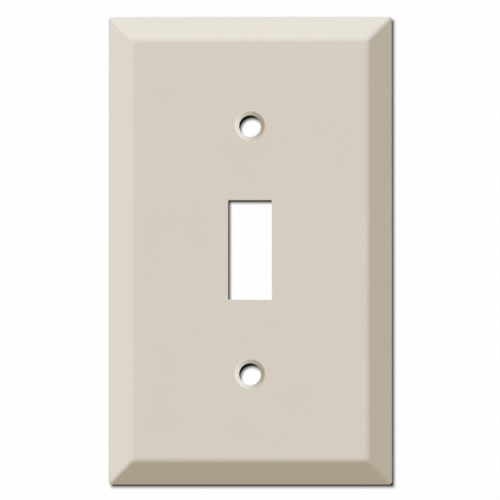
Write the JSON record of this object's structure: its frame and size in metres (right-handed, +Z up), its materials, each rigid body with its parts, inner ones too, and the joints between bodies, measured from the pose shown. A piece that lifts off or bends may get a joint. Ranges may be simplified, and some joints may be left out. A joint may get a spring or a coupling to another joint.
{
  "type": "toggle switch wall plate",
  "caption": "Single-gang wall plate with bevelled edges that covers a toggle switch, held by countersunk screws.",
  "frame": {"origin": "on the wall plane, midway between the screw holes, at the centre of the plate's outline", "axes": "+Z up the wall, -Y out of the wall so that the front face looks along -Y, +X to the right of someone facing the plate"},
  "size_m": [0.069, 0.0056, 0.114],
  "materials": {
    "almond_enamel": "satin"
  },
  "bodies": {
    "root": {"wall_plate": "almond_enamel"}
  },
  "joints": []
}
